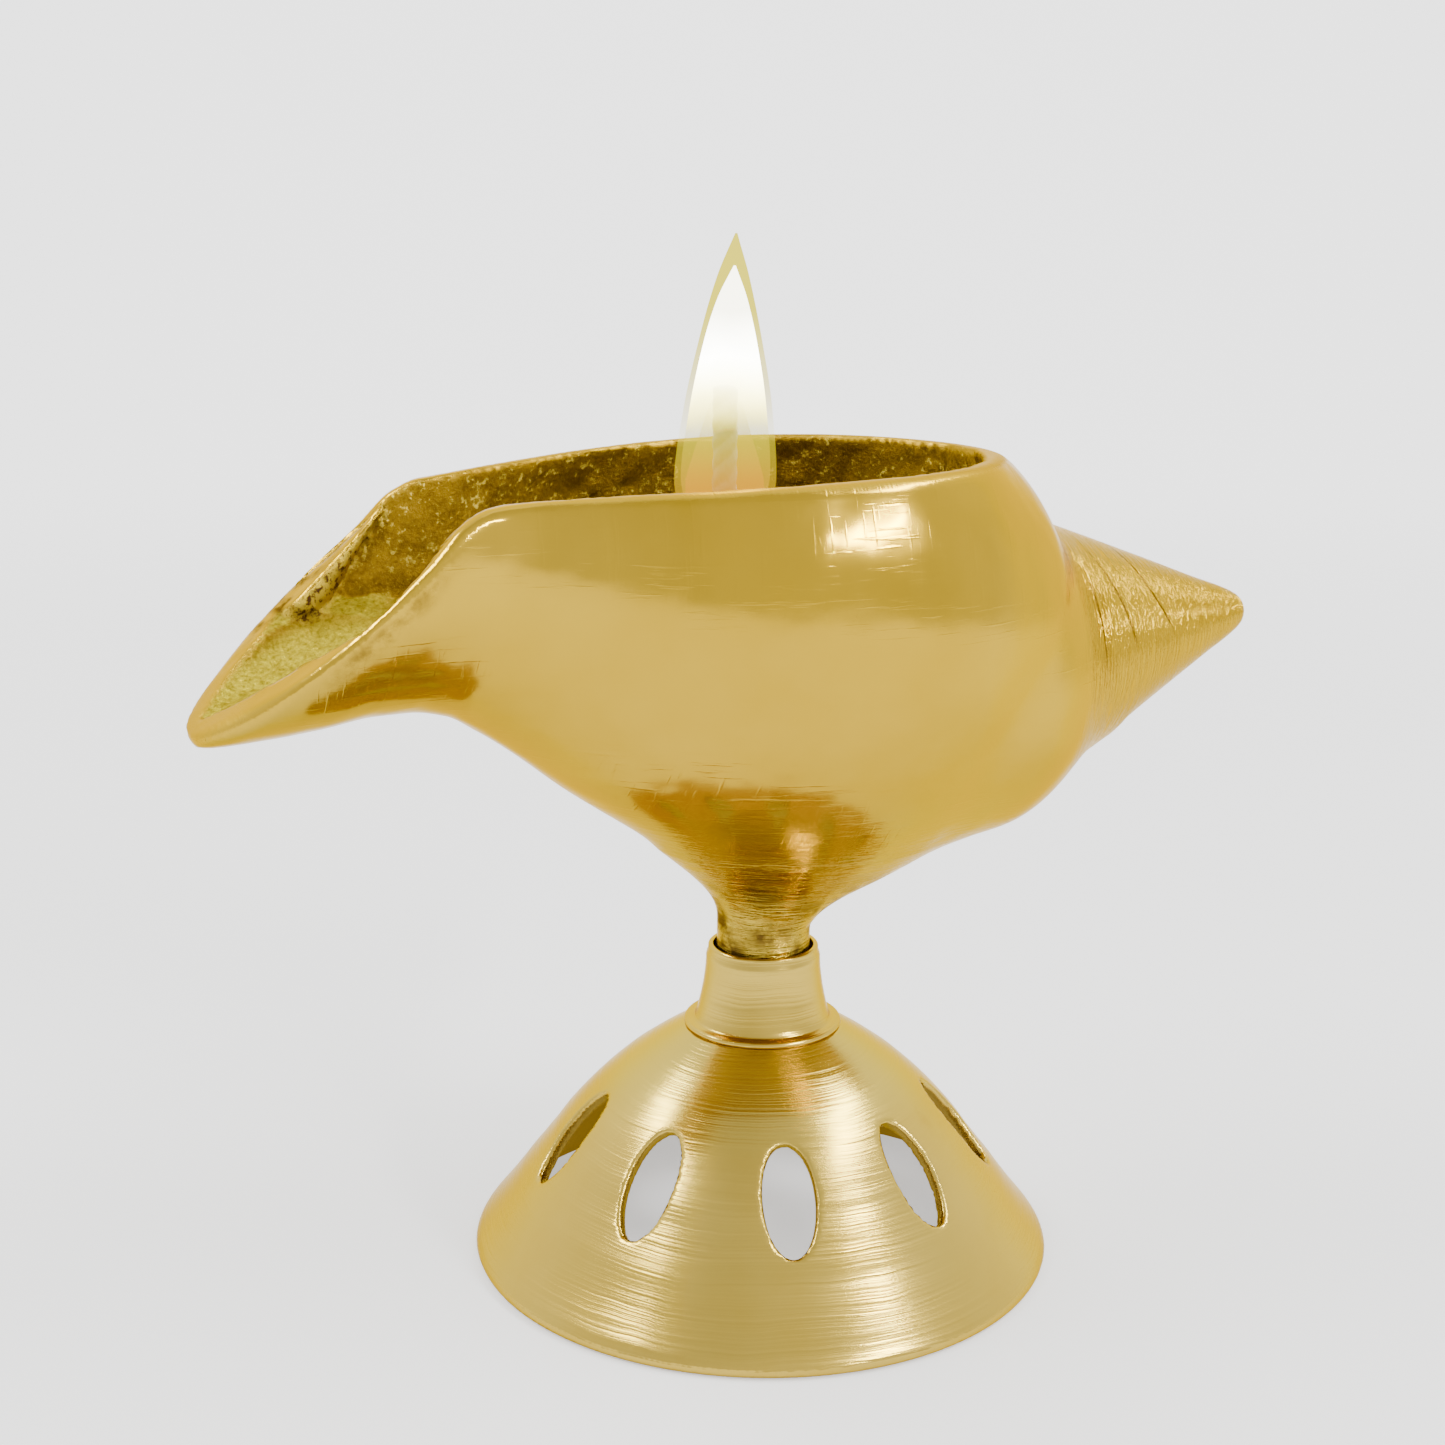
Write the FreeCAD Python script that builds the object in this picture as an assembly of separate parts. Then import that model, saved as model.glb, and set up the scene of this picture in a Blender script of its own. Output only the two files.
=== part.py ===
"""Brass conch-shell oil lamp (shankh diya) on a pierced bell foot.

A cast bowl shaped like a conch shell stands on a round foot.  The shell's axis is X: the open pouring
spout points to -X and the solid spire to +X.  The bowl's short stem carries a threaded stud that screws
into a turned collar, and the collar is held on the foot's crown by a tail, a washer and a ring nut.
A cotton wick stands in the bowl.  Z is up, the origin is the centre of the foot's resting ring.
All lengths are millimetres.
"""

import math
import os

import FreeCAD
import Part

V = FreeCAD.Vector
UP = V(0, 0, 1)

# ---- driving dimensions -------------------------------------------------------------------------
FOOT_RADIUS = 29.0          # outer radius of the foot where it rests
FOOT_WALL = 1.3             # thickness of the bell
CROWN_HEIGHT = 23.0         # underside of the collar's flange, on top of the bell
WINDOW_COUNT = 9            # oval openings round the bell
WINDOW_LENGTH = 10.7        # along the slope
WINDOW_WIDTH = 5.0
WINDOW_HEIGHT = 13.0        # height of the windows' middle
WINDOW_RADIUS = 19.6        # and its distance from the foot's axis
WINDOW_SLOPE = 41           # degrees from upright
WINDOW_PHASE = -106         # azimuth of the first window, degrees from +X

COLLAR_FLANGE_RADIUS = 7.9
COLLAR_FLANGE = 0.7         # thickness of the bead where the collar sits on the bell
COLLAR_FOOT_RADIUS = 6.65   # cone radius just above the bead
COLLAR_TOP_RADIUS = 5.45
COLLAR_TOP = 31.4           # height of the collar's mouth
MOUTH_RADIUS = 4.9          # counterbore that takes the stem
MOUTH_DEPTH = 1.9
TAIL_RADIUS = 4.2           # threaded tail through the crown
TAIL_LENGTH = 6.4           # below the flange

THREAD_RADIUS = 3.175       # quarter-inch stud
THREAD_PITCH = 1.27
ENGAGED_TURNS = 4
RUNNING_CLEARANCE = 0.06    # radial, stud in collar

STEM_RADIUS = 4.6
SEAT_WASHER = 0.5           # thickness
NUT_ACROSS_FLATS = 13.0
NUT_THICKNESS = 3.0
TAIL_WASHER_RADIUS = 7.4
TAIL_WASHER = 0.8

WICK_X = -4.5
WICK_RADIUS = 1.3
WICK_TOP = 86.2
WICK_BASE_RADIUS = 4.8      # the ball of cotton at the wick's foot
WICK_BASE_HEIGHT = 8.0
WICK_GAP = 1.0              # under the cotton's middle, so that its sides clear the keeled floor
FLAME_BOTTOM = 72.6
FLAME_TOP = 100.2
FLAME_RADIUS = 5.0
FLAME_GAP = 0.05            # round the wick

# Shape of the shell at stations along X, each as (x, value).  Between stations a smooth curve runs.
HALF_WIDTH = [(-55.7, 1.6), (-55.0, 5.0), (-53.3, 8.2), (-50.5, 10.6), (-46, 12.9), (-41, 14.0), (-36, 13.6),
              (-30, 13.2), (-22, 16.4), (-12, 21.2), (-4, 23.6), (4, 24.2), (12, 22.8), (18, 20.0), (22, 17.4),
              (25, 14.6), (27.4, 11.6), (29.6, 8.0), (31.6, 4.0)]
WIDEST_HEIGHT = [(-55.7, 60.0), (-50, 64.0), (-45, 68.0), (-40, 72.0), (-35, 73.5), (-30, 73.0), (-20, 70.5),
                 (-8, 68.0), (5, 67.0), (18, 65.5), (25, 63.5), (32, 61.0)]
KEEL = [(-55.7, 57.6), (-54.2, 56.1), (-48.5, 56.6), (-44, 57.2), (-39, 57.9), (-35.8, 57.9), (-32.2, 57.2),
        (-29.2, 55.5), (-25.8, 53.2), (-19.8, 48.5), (-12.9, 43.7), (-8, 40.3), (-4, 38.0), (1, 36.5), (7, 36.4),
        (15.1, 38.5), (22.9, 43.2), (26.5, 46.1), (29.6, 49.6), (31.6, 53)]
CREST = [(-55.7, 70), (-50, 88), (-41, 100), (-30, 92), (-22, 92), (-12, 93.5), (0, 93.0), (10, 89.0), (15, 86.0),
         (19, 82.7), (23, 79.4), (25.3, 76.3), (27.7, 72.1), (31.6, 67.0)]
KEEL_EXPONENT = [(-55.7, 2.0), (-41, 2.0), (-30, 1.85), (-15, 1.7), (0, 1.6), (15, 1.65), (26, 1.9), (32, 2.0)]

# The hollow, in the same terms.
HOLLOW_HALF_WIDTH = [(-53.4, 1.0), (-51.9, 3.8), (-49.4, 6.3), (-46, 8.8), (-41, 10.8), (-36, 10.6), (-30, 10.6),
                     (-22, 13.9), (-12, 18.6), (-4, 20.9), (4, 21.3), (12, 19.0), (15.8, 16.0), (18.8, 11.2),
                     (20.5, 6)]
HOLLOW_FLOOR = [(-53.4, 58.4), (-51.9, 58.9), (-49, 59.5), (-46, 60.0), (-41, 60.8), (-36, 61.0), (-32, 60.3),
                (-27, 57.5), (-20, 52.8), (-12, 48.4), (-4, 46.2), (4, 45.6), (11, 47.0), (15.8, 51.0),
                (18.8, 56.2), (20.5, 62)]
HOLLOW_CREST = [(-53.4, 76), (-46, 96), (-30, 93), (-12, 94.5), (0, 94.5), (10, 91.0), (14.5, 88.0),
                (17.5, 85.0), (20.5, 80.8)]

# The rim's edge seen from the side, from the tip of the spout up to its corner and along the bowl.
RIM_EDGE = [(-61, 52.6), (-55.7, 57.0), (-50, 61.5), (-46, 64.6), (-41, 68.8), (-36.5, 72.8), (-33.2, 76.1)]
RIM_TOP = [(-30.6, 77.3), (-22, 78.1), (-12, 78.7), (0, 79.3), (10, 79.6), (18, 79.7), (30, 79.4)]

SPIRE_ROOT = (22.0, 59.1)   # x and height of the spire's root, inside the shell
SPIRE_TIP = (55.0, 61.6)
SPIRE_OUTLINE = [(0.0, 16.4), (10, 11.95), (20, 7.4), (27, 4.2), (30.6, 2.6), (32.2, 1.6)]    # along, radius

# Flare between the round stem and the shell: height, centre's x, half length along X, half width along Y.
STEM_FLARE = [(33.2, 0.0, 4.6, 4.6), (34.4, 0.4, 5.0, 4.9), (36.0, 1.1, 6.2, 5.6), (38.6, 2.2, 8.9, 7.0),
              (42.0, 3.2, 12.6, 9.6)]


# ---- helpers ------------------------------------------------------------------------------------
def smooth(stations, x):
    """Cubic curve through (x, value) stations whose slopes never overshoot."""
    if x <= stations[0][0]:
        return stations[0][1]
    if x >= stations[-1][0]:
        return stations[-1][1]
    steps = [(b[1] - a[1]) / (b[0] - a[0]) for a, b in zip(stations, stations[1:])]
    i = max(k for k in range(len(steps)) if stations[k][0] <= x)

    def slope(k):
        if k == 0:
            return steps[0]
        if k == len(steps):
            return steps[-1]
        before, after = steps[k - 1], steps[k]
        return 0.0 if before * after <= 0 else 2 * before * after / (before + after)

    (x0, y0), (x1, y1) = stations[i], stations[i + 1]
    h = x1 - x0
    t = (x - x0) / h
    return (y0 * (1 + 2 * t) * (1 - t) ** 2 + y1 * t * t * (3 - 2 * t)
            + h * (slope(i) * t * (1 - t) ** 2 + slope(i + 1) * t * t * (t - 1)))


def spaced(first, last, count):
    return [first + (last - first) * i / (count - 1) for i in range(count)]


def power(value, exponent):
    return math.copysign(abs(value) ** exponent, value)


def section(x, half_width, widest, bottom, top, exponent):
    """Closed wire across the shell at x: round above its widest height, keeled below it."""
    points = []
    count = 40
    for i in range(count):
        a = 2 * math.pi * (i + 0.5) / count
        c, s = math.cos(a), math.sin(a)
        if s >= 0:
            y, z = half_width * c, widest + (top - widest) * s
        else:
            y = half_width * power(c, 2 / exponent)
            z = widest + (widest - bottom) * power(s, 2 / exponent)
        points.append(V(x, y, z))
    curve = Part.BSplineCurve()
    curve.interpolate(points, PeriodicFlag=True)
    return Part.Wire(curve.toShape())


def shell_loft(xs, half_width, bottom, top):
    wires = [section(x, smooth(half_width, x), smooth(WIDEST_HEIGHT, x), smooth(bottom, x), smooth(top, x),
                     smooth(KEEL_EXPONENT, x)) for x in xs]
    return Part.makeLoft(wires, True, False)


def revolve(outline):
    """Solid of revolution about Z from a closed outline: points, or edges for curved stretches."""
    face = Part.Face(Part.Wire(outline))
    return face.revolve(V(0, 0, 0), UP, 360)


def lines(points):
    closed = points + points[:1]
    return [Part.LineSegment(V(a[0], 0, a[1]), V(b[0], 0, b[1])).toShape() for a, b in zip(closed, closed[1:])]


def spline(points):
    curve = Part.BSplineCurve()
    curve.interpolate([V(x, 0, z) for x, z in points])
    return curve.toShape()


def line(a, b):
    return Part.LineSegment(V(a[0], 0, a[1]), V(b[0], 0, b[1])).toShape()


# ---- foot ---------------------------------------------------------------------------------------
CROWN_RADIUS = COLLAR_FLANGE_RADIUS
BELL_OUTER = [(CROWN_RADIUS, CROWN_HEIGHT), (10.3, 21.5), (13.8, 19.0), (17.2, 15.9), (19.8, 13.0), (22.0, 10.0),
              (24.3, 7.0), (26.5, 4.0), (28.5, 1.5), (FOOT_RADIUS, 0.6)]


def bell_inner():
    """The bell's outline moved inwards by the wall, square to the slope."""
    moved = []
    for i, (r, z) in enumerate(BELL_OUTER):
        a, b = BELL_OUTER[max(i - 1, 0)], BELL_OUTER[min(i + 1, len(BELL_OUTER) - 1)]
        run, fall = b[0] - a[0], a[1] - b[1]
        length = math.hypot(run, fall)
        moved.append((r - FOOT_WALL * fall / length, z - FOOT_WALL * run / length))
    return moved


def window_cutter():
    """Oval punch for one window, through the wall square to its slope."""
    oval = Part.Ellipse(V(0, 0, WINDOW_LENGTH / 2), V(0, WINDOW_WIDTH / 2, 0), V(0, 0, 0))
    punch = Part.Face(Part.Wire(oval.toShape())).extrude(V(12, 0, 0))
    punch.translate(V(-6, 0, 0))
    punch.rotate(V(0, 0, 0), V(0, 1, 0), -WINDOW_SLOPE)
    punch.translate(V(WINDOW_RADIUS, 0, WINDOW_HEIGHT))
    return punch


def foot_bell():
    inner = bell_inner()
    inner[0] = (TAIL_RADIUS + 0.1, CROWN_HEIGHT - FOOT_WALL)
    inner[1] = (8.2, CROWN_HEIGHT - FOOT_WALL)
    rest = (FOOT_RADIUS - 0.7, 0.0)
    inside = (inner[-1][0] - 0.2, 0.0)
    edge, hole = BELL_OUTER[-1], TAIL_RADIUS + 0.1
    edges = [
        line((hole, CROWN_HEIGHT), BELL_OUTER[0]),
        spline(BELL_OUTER),
        Part.Arc(V(edge[0], 0, edge[1]), V(FOOT_RADIUS - 0.1, 0, 0.2), V(rest[0], 0, 0)).toShape(),
        line(rest, inside),
        line(inside, inner[-2]),
        spline(inner[1:-1][::-1]),
        line(inner[1], inner[0]),
        line(inner[0], (hole, CROWN_HEIGHT)),
    ]
    bell = revolve(edges)
    for i in range(WINDOW_COUNT):
        cutter = window_cutter()
        cutter.rotate(V(0, 0, 0), UP, WINDOW_PHASE + 360 * i / WINDOW_COUNT)
        bell = bell.cut(cutter)
    return bell


def collar():
    flange_top = CROWN_HEIGHT + COLLAR_FLANGE
    bore = THREAD_RADIUS + RUNNING_CLEARANCE
    outer = lines([
        (bore, CROWN_HEIGHT - TAIL_LENGTH), (TAIL_RADIUS, CROWN_HEIGHT - TAIL_LENGTH), (TAIL_RADIUS, CROWN_HEIGHT),
        (COLLAR_FLANGE_RADIUS, CROWN_HEIGHT), (COLLAR_FLANGE_RADIUS, flange_top - 0.3),
        (COLLAR_FLANGE_RADIUS - 0.3, flange_top), (COLLAR_FOOT_RADIUS, flange_top), (6.0, 27.0),
        (COLLAR_TOP_RADIUS, COLLAR_TOP - 0.5), (COLLAR_TOP_RADIUS - 0.35, COLLAR_TOP),
        (MOUTH_RADIUS, COLLAR_TOP), (MOUTH_RADIUS, COLLAR_TOP - MOUTH_DEPTH), (bore, COLLAR_TOP - MOUTH_DEPTH),
    ])
    return revolve(outer)


def ring(inner_radius, outer_radius, bottom, thickness):
    return Part.makeCylinder(outer_radius, thickness, V(0, 0, bottom)).cut(
        Part.makeCylinder(inner_radius, thickness, V(0, 0, bottom)))


SEAT_HEIGHT = COLLAR_TOP - MOUTH_DEPTH
STEM_BOTTOM = SEAT_HEIGHT + SEAT_WASHER
CROWN_UNDERSIDE = CROWN_HEIGHT - FOOT_WALL


def seat_washer():
    return ring(THREAD_RADIUS + 0.15, MOUTH_RADIUS - 0.25, SEAT_HEIGHT, SEAT_WASHER)


def tail_washer():
    return ring(TAIL_RADIUS + 0.2, TAIL_WASHER_RADIUS, CROWN_UNDERSIDE - TAIL_WASHER, TAIL_WASHER)


def ring_nut():
    corner = NUT_ACROSS_FLATS / 2 / math.cos(math.pi / 6)
    bottom = CROWN_UNDERSIDE - TAIL_WASHER - NUT_THICKNESS
    corners = [V(corner * math.cos(i * math.pi / 3), corner * math.sin(i * math.pi / 3), bottom) for i in range(6)]
    hexagon = Part.Face(Part.makePolygon(corners + corners[:1])).extrude(V(0, 0, NUT_THICKNESS))
    flat = NUT_ACROSS_FLATS / 2
    chamfer = Part.makeCone(flat, flat + NUT_THICKNESS * 3, NUT_THICKNESS, V(0, 0, bottom))
    return hexagon.common(chamfer).cut(Part.makeCylinder(TAIL_RADIUS, NUT_THICKNESS, V(0, 0, bottom)))


# ---- bowl ---------------------------------------------------------------------------------------
STUD_ENGAGED = THREAD_PITCH * ENGAGED_TURNS
STUD_BOTTOM = SEAT_HEIGHT - STUD_ENGAGED
STUD_TOP = STEM_BOTTOM + 7.5


def stem_stud():
    chamfer = 0.5
    return revolve(lines([
        (0, STUD_BOTTOM), (THREAD_RADIUS - chamfer, STUD_BOTTOM), (THREAD_RADIUS, STUD_BOTTOM + chamfer),
        (THREAD_RADIUS, STUD_TOP - chamfer), (THREAD_RADIUS - chamfer, STUD_TOP), (0, STUD_TOP)]))


def stem():
    """Short round stem with a flare that runs out into the shell, further on the spire's side."""
    rod = Part.makeCylinder(STEM_RADIUS, STEM_FLARE[0][0] - STEM_BOTTOM, V(0, 0, STEM_BOTTOM))
    rings = [Part.Wire(Part.Ellipse(V(x, 0, z), length, width).toShape()) for z, x, length, width in STEM_FLARE]
    return rod.fuse(Part.makeLoft(rings, True, False))


def spire():
    """Round cone about the line from its root inside the shell to its rounded tip."""
    (x0, z0), (x1, z1) = SPIRE_ROOT, SPIRE_TIP
    length = math.hypot(x1 - x0, z1 - z0)
    side = [(radius, along) for along, radius in SPIRE_OUTLINE]
    flat = (0.5, length)
    cone = revolve([line((0, 0), side[0]), spline(side), line(side[-1], (1.2, length - 0.35)),
                    line((1.2, length - 0.35), flat), line(flat, (0, length)), line((0, length), (0, 0))])
    cone.rotate(V(0, 0, 0), V(0, 1, 0), math.degrees(math.atan2(x1 - x0, z1 - z0)))
    cone.translate(V(x0, 0, z0))
    return cone


def above_rim():
    """Everything above the rim: the nearly flat top and the long slope down to the spout's tip."""
    ceiling = 130
    edges = [spline(RIM_EDGE + RIM_TOP[:1]), spline(RIM_TOP), line(RIM_TOP[-1], (RIM_TOP[-1][0], ceiling)),
             line((RIM_TOP[-1][0], ceiling), (RIM_EDGE[0][0], ceiling)),
             line((RIM_EDGE[0][0], ceiling), RIM_EDGE[0])]
    face = Part.Face(Part.Wire(edges))
    face.translate(V(0, -40, 0))
    return face.extrude(V(0, 80, 0))


def conch_bowl():
    outer_xs = [-55.7, -55.3, -54.6] + spaced(-53.3, 30.5, 24) + [31.6]
    outer = shell_loft(outer_xs, HALF_WIDTH, KEEL, CREST).fuse([spire(), stem()]).cut(above_rim())
    hollow_xs = [-53.4, -52.4] + spaced(-50.4, 19.2, 18) + [20.5]
    hollow = shell_loft(hollow_xs, HOLLOW_HALF_WIDTH, HOLLOW_FLOOR, HOLLOW_CREST)
    bowl = outer.cut(hollow)
    return bowl.cut(Part.makeCylinder(THREAD_RADIUS, STUD_TOP - STEM_BOTTOM, V(0, 0, STEM_BOTTOM)))


# ---- wick and flame -----------------------------------------------------------------------------
def wick():
    """Cotton wick: a flattened ball of cotton twisted up into a straight stick."""
    low = smooth(HOLLOW_FLOOR, WICK_X) + WICK_GAP
    shoulder = low + WICK_BASE_HEIGHT
    base = [(1.2, low), (3.6, low + 0.9), (WICK_BASE_RADIUS, low + 2.6), (3.6, low + 4.6), (1.9, low + 6.2),
            (WICK_RADIUS, shoulder)]
    edges = [spline(base), line(base[-1], (WICK_RADIUS, WICK_TOP - 0.6)),
             line((WICK_RADIUS, WICK_TOP - 0.6), (WICK_RADIUS - 0.5, WICK_TOP)),
             line((WICK_RADIUS - 0.5, WICK_TOP), (0, WICK_TOP)), line((0, WICK_TOP), (0, low)),
             line((0, low), base[0])]
    cotton = revolve(edges)
    cotton.translate(V(WICK_X, 0, 0))
    return cotton


def flame():
    """Teardrop round the wick's top, with the wick's own space left out of it."""
    hole = WICK_RADIUS + FLAME_GAP
    ceiling = WICK_TOP + FLAME_GAP
    outline = [(hole, FLAME_BOTTOM), (3.6, 74.2), (FLAME_RADIUS, 77.6), (4.3, 83.5), (3.2, 90.0), (1.9, 95.4),
               (0.4, FLAME_TOP)]
    edges = [spline(outline), line(outline[-1], (0, FLAME_TOP)), line((0, FLAME_TOP), (0, ceiling)),
             line((0, ceiling), (hole, ceiling)), line((hole, ceiling), (hole, FLAME_BOTTOM))]
    drop = revolve(edges)
    drop.translate(V(WICK_X, 0, 0))
    return drop


def main():
    os.makedirs("parts", exist_ok=True)
    nodes = {
        "foot_bell": foot_bell(), "collar": collar(), "tail_washer": tail_washer(), "ring_nut": ring_nut(),
        "seat_washer": seat_washer(), "conch_bowl": conch_bowl(), "stem_stud": stem_stud(),
        "wick": wick(), "flame": flame(),
    }
    for name, shape in nodes.items():
        print(name, "valid", shape.isValid(), "solids", len(shape.Solids), "volume", round(shape.Volume, 1))
        shape.exportStep(f"parts/{name}.step")


main()
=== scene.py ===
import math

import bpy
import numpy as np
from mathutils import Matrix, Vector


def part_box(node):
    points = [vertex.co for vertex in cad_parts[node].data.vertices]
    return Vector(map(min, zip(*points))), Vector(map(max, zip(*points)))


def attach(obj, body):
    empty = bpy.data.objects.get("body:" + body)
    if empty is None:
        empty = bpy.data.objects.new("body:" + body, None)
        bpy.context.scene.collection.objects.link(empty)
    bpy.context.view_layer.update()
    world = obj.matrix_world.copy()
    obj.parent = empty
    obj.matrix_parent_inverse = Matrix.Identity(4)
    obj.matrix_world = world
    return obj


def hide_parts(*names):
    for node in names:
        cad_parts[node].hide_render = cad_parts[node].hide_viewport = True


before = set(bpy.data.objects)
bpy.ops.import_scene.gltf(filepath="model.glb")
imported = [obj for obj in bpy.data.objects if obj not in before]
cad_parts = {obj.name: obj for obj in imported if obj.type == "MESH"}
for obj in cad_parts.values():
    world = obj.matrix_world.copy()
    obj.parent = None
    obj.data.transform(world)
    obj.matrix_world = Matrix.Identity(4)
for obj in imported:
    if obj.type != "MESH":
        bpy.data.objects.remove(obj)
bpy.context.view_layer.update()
# Looks of the brass conch-shell oil lamp.  The shell, the foot and the collar are meshed from the same
# driving dimensions as the CAD, with cast, filed and turned detail on top.  The wall at the spout's edge
# is thinner than in the CAD, and the spire's root is blended more softly.  Shapes are worked out in
# millimetres and turned into metres when a mesh is made.

import openvdb
from mathutils import Matrix

# ---- driving dimensions, in millimetres ---------------------------------------------------------
HALF_WIDTH = [(-55.7, 1.6), (-55.0, 5.0), (-53.3, 8.2), (-50.5, 10.6), (-46, 12.9), (-41, 14.0),
              (-36, 13.6), (-30, 13.2), (-22, 16.4), (-12, 21.2), (-4, 23.6), (4, 24.2), (12, 22.8),
              (18, 20.0), (22, 17.4), (25, 14.6), (27.4, 11.6), (29.6, 8.0), (31.6, 4.0)]
WIDEST_HEIGHT = [(-55.7, 60.0), (-50, 64.0), (-45, 68.0), (-40, 72.0), (-35, 73.5), (-30, 73.0),
                 (-20, 70.5), (-8, 68.0), (5, 67.0), (18, 65.5), (25, 63.5), (32, 61.0)]
KEEL = [(-55.7, 57.6), (-54.2, 56.1), (-48.5, 56.6), (-44, 57.2), (-39, 57.9), (-35.8, 57.9),
        (-32.2, 57.2), (-29.2, 55.5), (-25.8, 53.2), (-19.8, 48.5), (-12.9, 43.7), (-8, 40.3), (-4, 38.0),
        (1, 36.5), (7, 36.4), (15.1, 38.5), (22.9, 43.2), (26.5, 46.1), (29.6, 49.6), (31.6, 53)]
CREST = [(-55.7, 70), (-50, 88), (-41, 100), (-30, 92), (-22, 92), (-12, 93.5), (0, 93.0), (10, 89.0),
         (15, 86.0), (19, 82.7), (23, 79.4), (25.3, 76.3), (27.7, 72.1), (31.6, 67.0)]
KEEL_EXPONENT = [(-55.7, 2.0), (-41, 2.0), (-30, 1.85), (-15, 1.7), (0, 1.6), (15, 1.65), (26, 1.9),
                 (32, 2.0)]
HOLLOW_HALF_WIDTH = [(-53.4, 1.0), (-51.9, 3.8), (-49.4, 6.3), (-46, 8.8), (-41, 10.8), (-36, 10.6),
                     (-30, 10.6), (-22, 13.9), (-12, 18.6), (-4, 20.9), (4, 21.3), (12, 19.0),
                     (15.8, 16.0), (18.8, 11.2), (20.5, 6)]
HOLLOW_FLOOR = [(-53.4, 58.4), (-51.9, 58.9), (-49, 59.5), (-46, 60.0), (-41, 60.8), (-36, 61.0),
                (-32, 60.3), (-27, 57.5), (-20, 52.8), (-12, 48.4), (-4, 46.2), (4, 45.6), (11, 47.0),
                (15.8, 51.0), (18.8, 56.2), (20.5, 62)]
HOLLOW_CREST = [(-53.4, 76), (-46, 96), (-30, 93), (-12, 94.5), (0, 94.5), (10, 91.0), (14.5, 88.0),
                (17.5, 85.0), (20.5, 80.8)]
RIM = [(-61, 52.6), (-55.7, 57.0), (-50, 61.5), (-46, 64.6), (-41, 68.8), (-36.5, 72.8), (-33.2, 76.1),
       (-30.6, 77.3), (-22, 78.1), (-12, 78.7), (0, 79.3), (10, 79.6), (18, 79.7), (30, 79.4)]
SPIRE_ROOT = (22.0, 59.1)
SPIRE_TIP = (55.0, 61.6)
SPIRE_OUTLINE = [(-10, 11.0), (-4, 15.2), (0.0, 16.4), (10, 11.95), (20, 7.4), (27, 4.2), (30.6, 2.6),
                 (32.2, 1.6), (33.05, 0.2)]
STEM_BOTTOM = 30.0
STEM_PLAIN_TOP = 34               # the smooth length that stands in the collar
STEM_FLARE = [(30.0, 0.0, 4.6, 4.6), (33.2, 0.0, 4.6, 4.6), (34.4, 0.4, 5.0, 4.9), (36.0, 1.1, 6.2, 5.6),
              (38.6, 2.2, 8.9, 7.0), (42.0, 3.2, 12.6, 9.6)]
BELL_OUTER = [(7.9, 23.0), (10.3, 21.5), (13.8, 19.0), (17.2, 15.9), (19.8, 13.0), (22.0, 10.0), (24.3, 7.0),
              (26.5, 4.0), (28.5, 1.5), (29.0, 0.6)]
BELL_WALL = 1.3
BELL_HOLE = 4.3
WINDOW_COUNT = 9
WINDOW_LENGTH = 10.7
WINDOW_WIDTH = 5.0
WINDOW_CENTRE = (19.6, 13.0)      # radius and height
WINDOW_SLOPE = math.radians(41)   # from upright
WINDOW_PHASE = math.radians(-106)
THREAD_PITCH = 1.27
THREAD_DEPTH = 0.62
WICK_X = -4.5
BOWL_VOXEL = 0.5
BOWL_SPACE = ((-57, -26, 29.2), (57, 26, 81))         # corners of the space that is meshed
BELL_VOXEL = 0.38
BELL_SPACE = ((-30, -30, -1), (30, 30, 24.5))
TABLE_STEP = 0.1                  # of the bell's distance table, which starts below the floor
TABLE_BOTTOM = -2
CAMERA_BACK = 200.0               # from the foot's axis
CAMERA_HEIGHT = 100.6
CAMERA_TURN = math.radians(24)    # the shell's axis against the picture
CAMERA_PITCH = math.radians(13.2)
CAMERA_YAW = math.radians(-1.2)
CAMERA_ROLL = math.radians(0.4)
CAMERA_LENS = 52.84
SKY = [(0.02, 1.0), (0.45, 0.95), (0.90, 0.80)]    # share of brightness at rising heights above the horizon
ROOM = [                          # and round the lamp, from behind the camera by its left
    (0.0, 0.47), (0.08, 0.38), (0.20, 0.52), (0.35, 0.70), (0.50, 1.0),
    (0.65, 0.70), (0.80, 0.40), (0.90, 0.52), (1.0, 0.47),
]
BACKDROP = 3.3                    # brightness of the studio behind the lamp
FLOOR_GLOW = 0.7                  # the floor is a softly lit table
FLOOR_RADIUS = 900
FLOOR_SIDES = 64
FLOOR_FADE = (0.12, 0.75)         # metres from the lamp between which the floor melts away
LAMP_MIDDLE = (0, 0, 0.055)       # metres, where the softboxes look
SOFTBOXES = [                     # name, place (right, away, up) in metres, size, brightness, roll in degrees
    ("left_strip", (-0.62, -0.05, 0.72), (0.8, 0.16), 22.0, 0),
    ("right_strip", (0.60, 0.00, 0.82), (0.8, 0.13), 30.0, 0),
    ("front_right", (0.66, -0.56, 0.46), (0.40, 0.06), 90.0, 24),
]


# ---- curves and fields --------------------------------------------------------------------------
def smooth(stations, x):
    """Cubic curve through (x, value) stations whose slopes never overshoot, for an array of x."""
    xs = np.array([s[0] for s in stations], float)
    ys = np.array([s[1] for s in stations], float)
    steps = np.diff(ys) / np.diff(xs)
    before, after = steps[:-1], steps[1:]
    same_way = before * after > 0
    inner = np.where(same_way, 2 * before * after / np.where(same_way, before + after, 1), 0)
    slopes = np.concatenate([steps[:1], inner, steps[-1:]])
    x = np.clip(x, xs[0], xs[-1])
    i = np.clip(np.searchsorted(xs, x, side="right") - 1, 0, len(steps) - 1)
    h = xs[i + 1] - xs[i]
    t = (x - xs[i]) / h
    return (ys[i] * (1 + 2 * t) * (1 - t) ** 2 + ys[i + 1] * t * t * (3 - 2 * t)
            + h * (slopes[i] * t * (1 - t) ** 2 + slopes[i + 1] * t * t * (t - 1)))


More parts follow.
